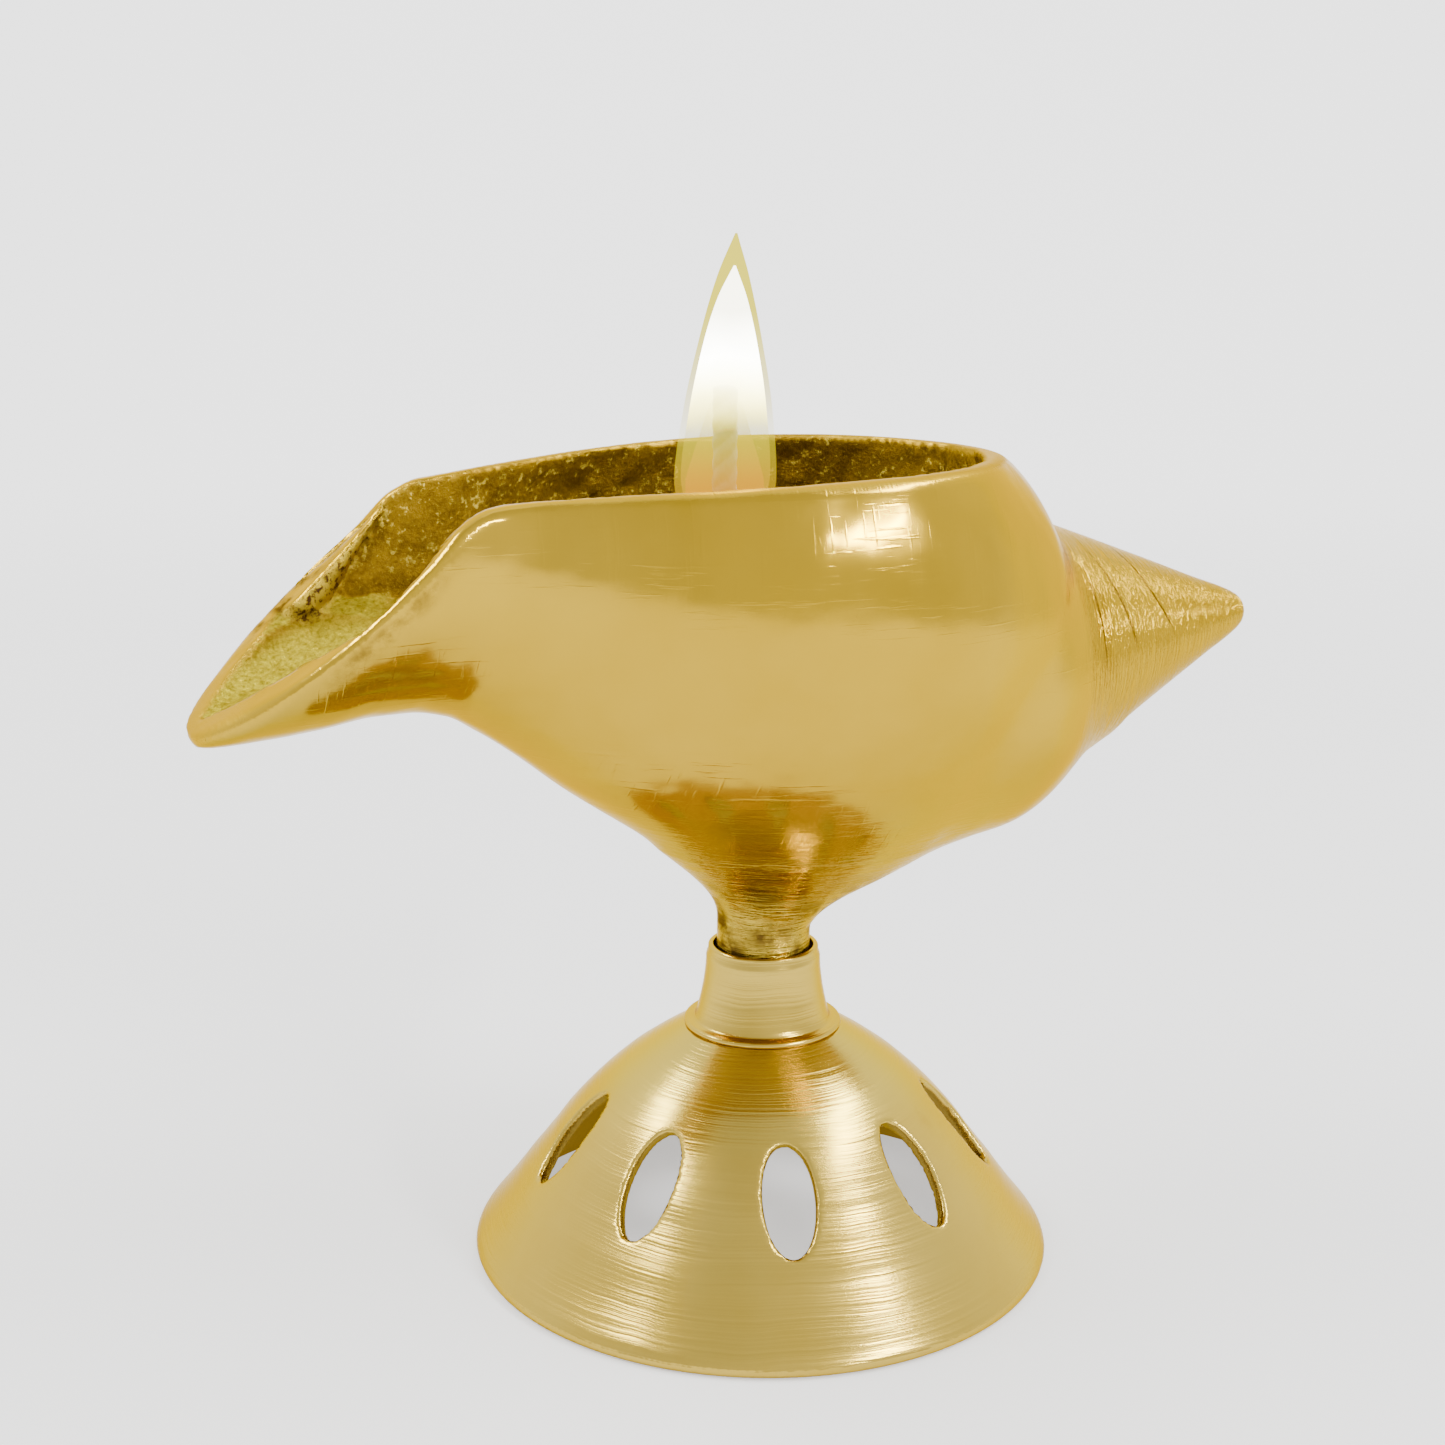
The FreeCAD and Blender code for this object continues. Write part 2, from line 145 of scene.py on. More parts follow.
def union(a, b, blend):
    """Smooth union of two distance fields."""
    mix = np.clip(0.5 + 0.5 * (b - a) / blend, 0, 1)
    return b * (1 - mix) + a * mix - blend * mix * (1 - mix)


def cut(a, b, blend):
    """Field a with field b taken away and the new edge rounded."""
    return -union(-a, b, blend)


# Factors a little below 1, such as 0.91, turn the gap across a slanted wall into the distance to it.
def shell_field(p, half_width, floor, crest):
    """Distance from the shell whose sections are given by three tables: negative inside."""
    x, y, z = p.T
    width, low, top = smooth(half_width, x), smooth(floor, x), smooth(crest, x)
    widest, power = smooth(WIDEST_HEIGHT, x), smooth(KEEL_EXPONENT, x)
    upper = z >= widest
    power = np.where(upper, 2.0, power)
    height = np.where(upper, top - widest, widest - low)
    a = np.maximum(np.abs(y) / width, 1e-4)
    h = np.maximum(np.abs(z - widest) / height, 1e-4)
    q = (a ** power + h ** power) ** (1 / power)
    steepness = np.hypot((a / q) ** (power - 1) / width, (h / q) ** (power - 1) / height)
    sides = (q - 1) / steepness
    ends = np.maximum(half_width[0][0] - x, x - half_width[-1][0])
    return np.maximum(sides, ends)


def spire_field(p):
    """Distance from the cone at the shell's closed end."""
    x, y, z = p.T
    run, rise = SPIRE_TIP[0] - SPIRE_ROOT[0], SPIRE_TIP[1] - SPIRE_ROOT[1]
    length = math.hypot(run, rise)
    along = ((x - SPIRE_ROOT[0]) * run + (z - SPIRE_ROOT[1]) * rise) / length
    across = ((z - SPIRE_ROOT[1]) * run - (x - SPIRE_ROOT[0]) * rise) / length
    radius = smooth(SPIRE_OUTLINE, along)
    side = (np.hypot(y, across) - radius) * 0.91
    return np.maximum(side, np.maximum(SPIRE_OUTLINE[0][0] - along, along - SPIRE_OUTLINE[-1][0]))


def stem_field(p):
    """Distance from the stem that flares into the shell's keel."""
    x, y, z = p.T
    centre = smooth([s[:2] for s in STEM_FLARE], z)
    length = smooth([(s[0], s[2]) for s in STEM_FLARE], z)
    width = smooth([(s[0], s[3]) for s in STEM_FLARE], z)
    side = (np.hypot((x - centre) / length, y / width) - 1) * width * 0.85
    return np.maximum(side, np.maximum(STEM_BOTTOM - z, z - STEM_FLARE[-1][0]))


def segment_distance(p, a, b):
    """Distance of points from the segment a-b, and how far along it they are, from 0 to 1."""
    a, b = np.array(a, float), np.array(b, float)
    t = np.clip((p - a) @ (b - a) / ((b - a) @ (b - a)), 0, 1)
    return np.linalg.norm(p - a - t[:, None] * (b - a), axis=1), t


def value_noise(p, size, seed):
    """Smooth random field from -1 to 1 with bumps about size millimetres wide."""
    count = 32
    lattice = np.random.default_rng(seed).uniform(-1, 1, (count, count, count))
    q = p / size
    base = np.floor(q).astype(int)
    t = q - base
    t = t * t * (3 - 2 * t)
    total = np.zeros(len(p))
    for corner in np.ndindex(2, 2, 2):
        index = (base + np.array(corner)) % count
        weight = np.prod(np.where(np.array(corner) == 1, t, 1 - t), axis=1)
        total += weight * lattice[index[:, 0], index[:, 1], index[:, 2]]
    return total


def gradient(field, p, step=0.05):
    """Slope of a field along X, Y and Z at each point."""
    return np.stack([(field(p + d) - field(p - d)) / (2 * step) for d in np.eye(3) * step], axis=1)


def field_surface(field, low, high, step):
    """Points and quads of the field's zero surface, pulled exactly onto it, with outward normals."""
    axes = [np.arange(a, b + step, step) for a, b in zip(low, high)]
    shape = [len(a) for a in axes]
    grid = np.stack(np.meshgrid(*axes, indexing="ij"), axis=-1).reshape(-1, 3)
    values = np.concatenate([field(block) for block in np.array_split(grid, 40)])
    volume = openvdb.FloatGrid(10.0)
    volume.copyFromArray(np.clip(values, -3 * step, 3 * step).reshape(shape).astype(np.float32))
    points, quads = volume.convertToQuads(isovalue=0.0)
    points = points * step + np.array(low)
    for _ in range(4):
        slope = gradient(field, points)
        size = np.maximum((slope ** 2).sum(1), 0.05)
        move = -slope * (field(points) / size)[:, None]
        reach = np.maximum(np.linalg.norm(move, axis=1) / (0.4 * step), 1)
        points = points + move / reach[:, None]
    slope = gradient(field, points, 0.12)
    normals = slope / np.maximum(np.linalg.norm(slope, axis=1), 1e-6)[:, None]
    a, b, c = points[quads[:, 0]], points[quads[:, 1]], points[quads[:, 2]]
    if (np.cross(b - a, c - a) * normals[quads[:, 0]]).sum() < 0:
        quads = quads[:, ::-1]
    return points, quads, normals


def make_mesh(name, points, faces):
    """Smooth-shaded object from points in millimetres."""
    mesh = bpy.data.meshes.new(name)
    mesh.from_pydata((np.asarray(points) * 0.001).tolist(), [], [list(map(int, f)) for f in faces])
    mesh.update()
    mesh.polygons.foreach_set("use_smooth", [True] * len(mesh.polygons))
    piece = bpy.data.objects.new(name, mesh)
    bpy.context.scene.collection.objects.link(piece)
    return piece


def paint(piece, name, values):
    """A number per vertex that the materials read."""
    layer = piece.data.attributes.new(name, "FLOAT", "POINT")
    layer.data.foreach_set("value", np.clip(values, 0, 1).astype(np.float32))


def grid_faces(rows, columns):
    """Quads between rows of points, each row running round a ring."""
    return [(i * columns + j, i * columns + (j + 1) % columns, (i + 1) * columns + (j + 1) % columns,
             (i + 1) * columns + j) for i in range(rows - 1) for j in range(columns)]


def tube_faces(rows, columns):
    """Quads round a tube, with a face over each end."""
    faces = grid_faces(rows, columns)
    faces.append(tuple(range(columns))[::-1])
    last = (rows - 1) * columns
    faces.append(tuple(range(last, last + columns)))
    return faces


def step_up(low, high, value):
    """0 below low, 1 above high, with a smooth rise between them."""
    t = np.clip((value - low) / (high - low), 0, 1)
    return t * t * (3 - 2 * t)


# ---- bowl ---------------------------------------------------------------------------------------
# Scored lines on the spire: (x, degrees from the top) from end to end.
SPIRE_LINES = [[(28.9, 44), (29.3, 66), (29.9, 96)], [(31.1, 32), (33.1, 58), (35.2, 90)],
               [(36.2, 12), (38.5, 52), (41.5, 86)]]
SCORE_RANGE = 4                   # the running number of the lines goes from 0 to this
ROLLED_LIP = [(-34.8, 11.2, 74.6, 0.6), (-42.4, 10.5, 66.8, 2.3)]     # x, y, z, radius at its two ends


def outer_field(p):
    """Distance from the outside of shell, spire and stem together."""
    body = shell_field(p, HALF_WIDTH, KEEL, CREST)
    spire_blend = 1.6 + 5.0 * (1 - step_up(50, 68, p[:, 2]))
    return union(union(body, spire_field(p), spire_blend), stem_field(p), 3.0)


def trough_field(p):
    """Flat-sided channel in the spout, with a sharp corner between its floor and its walls."""
    x, y, z = np.abs(p).T * np.array([[-1], [1], [1]])
    floor = smooth(HOLLOW_FLOOR, x) + 0.53 * y + 9 * step_up(-33, -25, x) + 4 * (1 - step_up(-51, -47, x))
    feather = 2.2 * step_up(-5, -0.2, z - smooth(RIM, x)) * step_up(-53, -47, x) * (1 - step_up(-40, -28, x))
    walls = y - smooth(HOLLOW_HALF_WIDTH, x) + 0.1 - feather
    return np.maximum(np.maximum(walls, (floor - z) * 0.88), p[:, 0] + 24)


def rolled_lip(p):
    """Bead of metal rolled inwards along the spout's far edge."""
    (*start, thin), (*end, thick) = ROLLED_LIP
    near, t = segment_distance(p, start, end)
    return near - thin - (thick - thin) * t


def hollow_field(p):
    """Distance from the space inside the shell and the spout."""
    hollow = shell_field(p, HOLLOW_HALF_WIDTH, HOLLOW_FLOOR, HOLLOW_CREST)
    return cut(np.minimum(hollow, trough_field(p)), rolled_lip(p), 0.5)


def rim_field(p):
    """Negative above the rim's surface, positive below it."""
    return (smooth(RIM, p[:, 0]) - p[:, 2]) * 0.8


def bowl_field(p):
    """Distance from the casting's metal."""
    softness = 0.8 + 1.4 * (1 - step_up(-52, -46, p[:, 0]))
    solid = cut(outer_field(p), rim_field(p), softness)
    return cut(solid, hollow_field(p), 0.3)


def spire_score(p):
    """Running number of the scored lines, whole on each line, and how deep the line is at each point."""
    slope = (SPIRE_TIP[1] - SPIRE_ROOT[1]) / (SPIRE_TIP[0] - SPIRE_ROOT[0])
    above = p[:, 2] - SPIRE_ROOT[1] - slope * (p[:, 0] - SPIRE_ROOT[0])
    turn = np.degrees(np.arctan2(np.abs(p[:, 1]), above))
    at = [np.interp(turn, [a for x, a in ends], [x for x, a in ends]) for ends in SPIRE_LINES]
    bounds = [at[0] - 3, at[0], at[1], at[2], at[2] + 4]
    number = np.zeros(len(p))
    for a, b in zip(bounds, bounds[1:]):
        number += np.clip((p[:, 0] - a) / (b - a), 0, 1)
    depth = np.zeros(len(p))
    for k, ends in enumerate(SPIRE_LINES):
        first, last = ends[0][1], ends[-1][1]
        fade = step_up(first - 8, first + 10, turn) * (1 - step_up(last - 12, last, turn))
        depth = np.maximum(depth, fade * (np.abs(number - k - 1) < 0.5))
    return number, depth


def make_bowl():
    """The whole casting, with its surface moved a little: grain inside, slow waves outside."""
    points, quads, normals = field_surface(bowl_field, *BOWL_SPACE, BOWL_VOXEL)
    x, y, z = points.T
    outer, hollow, rim = outer_field(points), -hollow_field(points), -rim_field(points)
    inside = step_up(-0.25, 0.1, hollow - np.maximum(outer, rim))
    ground = step_up(-0.35, 0.05, rim - np.maximum(outer, hollow))
    ground *= np.maximum(step_up(-30, -22, x), 1 - step_up(-53, -49, x))
    rough = (0.15 * value_noise(points, 2.2, 1) + 0.12 * value_noise(points, 1.1, 2)
             + 0.2 * value_noise(points, 6.0, 3))
    wavy = 0.16 * value_noise(points, 14.0, 4) + 0.045 * value_noise(points, 6.0, 5)
    skin = 1 - np.maximum(inside, ground)
    shift = np.where(z < STEM_PLAIN_TOP, 0, rough * inside + wavy * skin)
    bowl = make_mesh("bowl", points + normals * shift[:, None], quads)
    paint(bowl, "inside", inside)
    paint(bowl, "ground", ground)
    paint_inside(bowl, points, normals, inside)
    paint_outside(bowl, points, normals, skin)
    return bowl


def paint_inside(bowl, points, normals, inside):
    """Where the raw casting is the spout's floor, painted lighter where it faces up, the rolled bead, or the
    upper wall that catches light and gets painted glints.
    """
    x, y, z = points.T
    # painted light: the spout's floor is painted lighter where it faces up, on top of its yellower colour
    paint(bowl, "spout", (1 - step_up(-37, -31, x)) * inside * step_up(0.5, 0.75, normals[:, 2]))
    paint(bowl, "bead", inside * (1 - step_up(0.1, 0.5, rolled_lip(points))))
    # painted highlight: the upper wall where it catches light gets painted glints
    paint(bowl, "lit_wall", inside * step_up(62, 76, z))


def bowl_patina_and_shade(points, skin):
    """Dark deposits round the stem and in the far lip, a darker band just below the near lip, and painted
    shade under the spout's bend.
    """
    x, y, z = points.T
    below = smooth(RIM, x) - z
    stem = (1 - step_up(33.0, 42.0, z)) * step_up(-0.6, 0.5, value_noise(points, 2.4, 6))
    far_lip = (1 - step_up(0.2, 1.5, below)) * step_up(-50, -45, x) * (1 - step_up(-36, -31, x)) * (y > 0)
    near_lip = step_up(0.6, 1.6, below) * (1 - step_up(2.0, 4.2, below)) * step_up(-47, -42, x)
    near_lip *= (1 - step_up(-38, -33, x)) * (y < 0) * skin
    # painted shade: the concave bend under the spout is darkened a little
    bend = 1 - step_up(0, 3.0, np.abs(z - 59.5 - 0.1 * (x + 36)))
    bend *= step_up(-46, -38, x) * (1 - step_up(-34, -27, x))
    spots = step_up(-0.1, 0.5, value_noise(points, 1.5, 7))
    return np.maximum.reduce([stem, far_lip * spots, 0.6 * near_lip, 0.10 * bend * skin])


def paint_outside(bowl, points, normals, skin):
    """Where the skin is stained or has painted shade under the spout's bend, filed, scored, painted with the
    foot's reflection where it faces down to it, or painted in shade on the spout's down-facing side.
    """
    x, y, z = points.T
    paint(bowl, "patina_and_shade", bowl_patina_and_shade(points, skin))
    paint(bowl, "filed", (1 - step_up(36, 50, z)) * skin)
    paint(bowl, "spire", step_up(25, 31, x) * skin)
    facing = step_up(0.15, 0.75, -normals[:, 2])
    # painted reflection: the belly's underside near the stem is tinted as if it mirrored the foot
    under = facing * (1 - step_up(44, 52, z)) * (1 - step_up(15, 24, np.abs(x - 2)))
    paint(bowl, "under", np.maximum(under, 0.8 * (1 - step_up(36, 42, z))) * skin)
    # painted shade: the spout's down-facing side is painted darker
    paint(bowl, "shaded_flank", facing * 0.6 * (1 - step_up(-42, -30, x)) * skin)
    number, depth = spire_score(points)
    paint(bowl, "score", number / SCORE_RANGE)
    paint(bowl, "score_depth", depth * skin)


# ---- foot ---------------------------------------------------------------------------------------
def bell_midline():
    """Middle of the bell's wall as (radius, height) points, from the crown's hole to the resting rim."""
    outer = np.array(BELL_OUTER)
    t = np.linspace(0, 1, len(outer))
    fine = np.linspace(0, 1, 90)
    curve = np.stack([smooth(list(zip(t, outer[:, k])), fine) for k in (0, 1)], axis=1)
    tangent = np.gradient(curve, axis=0)
    tangent /= np.linalg.norm(tangent, axis=1)[:, None]
    middle = curve + BELL_WALL / 2 * np.stack([tangent[:, 1], -tangent[:, 0]], axis=1)
    middle = middle[middle[:, 1] > BELL_WALL / 2]
    middle = middle[middle[:, 0] > BELL_OUTER[0][0] - 0.4]
    level = BELL_OUTER[0][1] - BELL_WALL / 2
    crown = [(BELL_HOLE + BELL_WALL / 2, level), (7.4, level)]
    return np.concatenate([crown, middle])


def bell_table():
    """Distance from the bell's wall over a grid of radius and height."""
    radii = np.arange(0, 32, TABLE_STEP)
    heights = np.arange(TABLE_BOTTOM, 26, TABLE_STEP)
    grid = np.stack(np.meshgrid(radii, heights, indexing="ij"), axis=-1).reshape(-1, 2)
    near = np.full(len(grid), 99.0)
    line = bell_midline()
    for a, b in zip(line, line[1:]):
        near = np.minimum(near, segment_distance(grid, a, b)[0])
    return (near - BELL_WALL / 2).reshape(len(radii), len(heights))


BELL_TABLE = bell_table()


def bell_profile(radius, height):
    """The table's distance at any radius and height."""
    u = np.clip(radius / TABLE_STEP, 0, BELL_TABLE.shape[0] - 1.001)
    v = np.clip((height - TABLE_BOTTOM) / TABLE_STEP, 0, BELL_TABLE.shape[1] - 1.001)
    i, j = u.astype(int), v.astype(int)
    s, t = u - i, v - j
    return ((1 - s) * (1 - t) * BELL_TABLE[i, j] + s * (1 - t) * BELL_TABLE[i + 1, j]
            + (1 - s) * t * BELL_TABLE[i, j + 1] + s * t * BELL_TABLE[i + 1, j + 1])


def window_field(p):
    """Distance from the nearest of the oval windows round the bell."""
    sector = 2 * math.pi / WINDOW_COUNT
    radius = np.hypot(p[:, 0], p[:, 1])
    angle = np.arctan2(p[:, 1], p[:, 0]) - WINDOW_PHASE
    angle = (angle + sector / 2) % sector - sector / 2
    outward, sideways = radius * np.cos(angle), radius * np.sin(angle)
    along = (-(outward - WINDOW_CENTRE[0]) * math.sin(WINDOW_SLOPE)
             + (p[:, 2] - WINDOW_CENTRE[1]) * math.cos(WINDOW_SLOPE))
    a, b = along * 2 / WINDOW_LENGTH, sideways * 2 / WINDOW_WIDTH
    size = np.maximum(np.hypot(a, b), 1e-4)
    steepness = np.hypot(a * 2 / WINDOW_LENGTH, b * 2 / WINDOW_WIDTH) / size
    return (size - 1) / np.maximum(steepness, 1e-3)


def bell_field(p):
    """Distance from the bell's wall with its windows cut."""
    wall = bell_profile(np.hypot(p[:, 0], p[:, 1]), p[:, 2])
    return cut(wall, window_field(p), 0.3)


def make_bell():
    """The pierced bell, with faint turned waves between its flat crown and its resting rim."""
    points, quads, normals = field_surface(bell_field, *BELL_SPACE, BELL_VOXEL)
    radius = np.hypot(points[:, 0], points[:, 1])
    turned = 0.009 * np.sin(points[:, 2] * 2.1 + 1.3 * np.sin(radius * 0.7))
    shift = np.where((radius > 9) & (points[:, 2] > 1.5), turned, 0)
    bell = make_mesh("bell", points + normals * shift[:, None], quads)
    outward = 0.7 * (normals[:, 2] + (normals[:, 0] * points[:, 0] + normals[:, 1] * points[:, 1]) / radius)
    paint(bell, "inside", 1 - step_up(-0.4, 0.2, outward))
    # painted reflection: the bell's upper part is tinted as if it mirrored the bowl above it
    paint(bell, "shoulder", step_up(15.5, 19.5, points[:, 2]))
    return bell


def lathe(name, outline, segments=144):
    """Closed ring of the outline's (radius, height) points turned about Z."""
    outline = np.array(outline, float)
    angles = np.linspace(0, 2 * math.pi, segments, endpoint=False)
    rows = [[(r * math.cos(a), r * math.sin(a), z) for a in angles] for r, z in outline]
    faces = grid_faces(len(outline) + 1, segments)
    count = len(outline) * segments
    faces = [tuple(k % count for k in f) for f in faces]
    return make_mesh(name, [q for row in rows for q in row], faces)


def arc_points(centre, radius, start, end, count):
    """Points on an arc between two angles in degrees."""
    return [(centre[0] + radius * math.cos(math.radians(a)), centre[1] + radius * math.sin(math.radians(a)))
            for a in np.linspace(start, end, count)]


def make_collar():
    """Turned collar: bead where it sits on the bell, fine groove, waisted cone and rounded mouth."""
    bead = arc_points((7.5, 23.36), 0.34, -90, 90, 9)
    cone = [(6.95, 23.72), (6.8, 23.8), (6.66, 24.0)]
    cone += [(6.66 - 1.0 * (1 - (1 - t) ** 1.7), 24.0 + 6.2 * t) for t in np.linspace(0.08, 1, 16)]
    lip = arc_points((5.2, 31.12), 0.26, 0, 90, 6)
    neck = [(5.58, 30.5), (5.47, 30.75)]
    mouth = arc_points((5.12, 31.2), 0.2, 95, 180, 5) + [(4.91, 30.6), (4.9, 29.6), (4.85, 29.5)]
    bore = [(3.3, 29.5), (3.24, 29.4), (3.24, 16.7), (3.35, 16.6)]
    tail = [(4.05, 16.6), (4.19, 16.75), (4.19, 22.9), (4.25, 23.0)]
    outline = bead + cone + neck + lip + mouth + bore + tail
    return lathe("collar_turned", outline)


def make_thread():
    """Stud with a real helical thread on the length that screws into the collar."""
    low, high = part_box("stem_stud")
    bottom, top = low[2] * 1000, high[2] * 1000
    major = (high[0] - low[0]) * 500 - 0.02
    segments = 64
    heights = np.arange(bottom, top + 0.01, THREAD_PITCH / 14)
    angles = np.linspace(0, 2 * math.pi, segments, endpoint=False)
    points = []
    for z in heights:
        ends = np.clip(min(z - bottom, top - z) / 0.6, 0, 1)
        for a in angles:
            phase = (z / THREAD_PITCH - a / (2 * math.pi)) % 1
            tooth = abs(2 * phase - 1)
            radius = major - THREAD_DEPTH * np.clip(tooth * 1.25 - 0.12, 0, 1) - 0.45 * (1 - ends)
            points.append((radius * math.cos(a), radius * math.sin(a), z))
    faces = tube_faces(len(heights), segments)
    return make_mesh("threaded_stud", points, faces)


# ---- wick and flame -----------------------------------------------------------------------------
def make_wick():
    """Twisted cotton stick that swells into a ball of loose cotton at its foot."""
    low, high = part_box("wick")
    bottom, top = low[2] * 1000, high[2] * 1000
    ball = [(0, 1.2), (0.6, 3.3), (2.3, 4.6), (3.9, 4.1), (5.4, 2.5), (6.6, 1.6), (8.0, 1.22)]
    outline = [(bottom + h, r) for h, r in ball] + [(top - 0.5, 1.2), (top - 0.1, 0.95), (top, 0.5)]
    shoulder = bottom + 8
    heights = np.concatenate([np.linspace(bottom, shoulder, 60, endpoint=False),
                              np.linspace(shoulder, top, 190)])
    segments = 60
    angles = np.linspace(0, 2 * math.pi, segments, endpoint=False)
    z, a = np.meshgrid(heights, angles, indexing="ij")
    radius = smooth(outline, z)
    strand = np.abs(np.cos(1.5 * (a - z * 1.15)))
    ply = np.abs(np.cos(6 * (a + z * 0.5)))
    radius = radius * (0.86 + 0.11 * strand + 0.03 * ply)
    points = np.stack([WICK_X + radius * np.cos(a), radius * np.sin(a), z], axis=-1).reshape(-1, 3)
    fuzz = 0.10 * value_noise(points, 0.9, 11) + 0.06 * value_noise(points, 0.45, 12)
    axis_out = points - np.stack([np.full(len(points), WICK_X), np.zeros(len(points)), points[:, 2]], axis=1)
    size = np.maximum(np.linalg.norm(axis_out, axis=1), 0.1)
    points = points + axis_out / size[:, None] * (fuzz * np.clip(size / 3, 0.3, 1))[:, None]
    points[:, 2] = np.clip(points[:, 2], bottom, top)
    faces = tube_faces(len(heights), segments)
    return make_mesh("cotton_wick", points, faces)


WHITE = (1, 1, 0.94)
CREAM = (1, 0.93, 0.4)
YELLOW = (1, 0.84, 0.0)
AMBER = (1, 0.52, 0.0)
RED = (1, 0.30, 0.0)
# Nested shells: outline as (height, radius), lean, sway, colours by share of the height, the shares between
# which the shell changes, and its brightness and opacity below and above them.
FLAME = {
    "flame_glow": (
        [(73.0, 2.6), (74.6, 4.2), (77.6, 4.8), (84.0, 4.15), (90.0, 3.0), (96.0, 1.5), (99.9, 0.1)],
        1.2, 0.22,
        [(0.1, AMBER), (0.3, YELLOW), (0.60, YELLOW), (0.95, YELLOW)],
        (0.35, 0.75), (2.2, 1.7), (0.14, 0.80)),
    "flame_body": (
        [(73.2, 2.2), (75.0, 3.6), (78.0, 4.2), (84.0, 3.6), (90.0, 2.5), (94.0, 1.4), (97.0, 0.1)],
        1.05, 0.2,
        [(0.18, AMBER), (0.32, YELLOW), (0.46, CREAM), (0.58, WHITE)],
        (0.34, 0.58), (1.5, 30.0), (0.20, 0.95)),
    "flame_heart": (
        [(73.4, 2.4), (75.0, 3.6), (77.0, 3.7), (79.5, 3.1), (82.0, 2.3), (84.6, 1.5)],
        0.1, 0.0,
        [(0.15, RED), (0.27, AMBER), (0.38, YELLOW), (0.48, CREAM)],
        (0.20, 0.46), (1.25, 1.5), (0.45, 0.04)),
}


def make_flame(name, outline, lean, sway):
    """Closed teardrop: outline is (height, radius) from its foot to its tip, leaning towards +X."""
    heights = np.array([h for h, r in outline])
    fine = np.linspace(heights[0], heights[-1], 90)
    radii = smooth(outline, fine)
    t = (fine - fine[0]) / (fine[-1] - fine[0])
    centre = WICK_X + lean * t ** 2 + sway * np.sin(t * 5.0) * t
    segments = 72
    angles = np.linspace(0, 2 * math.pi, segments, endpoint=False)
    points = [(c + r * math.cos(a), r * math.sin(a) * 0.96, z)
              for c, r, z in zip(centre, radii, fine) for a in angles]
    faces = tube_faces(len(fine), segments)
    return make_mesh(name, points, faces)


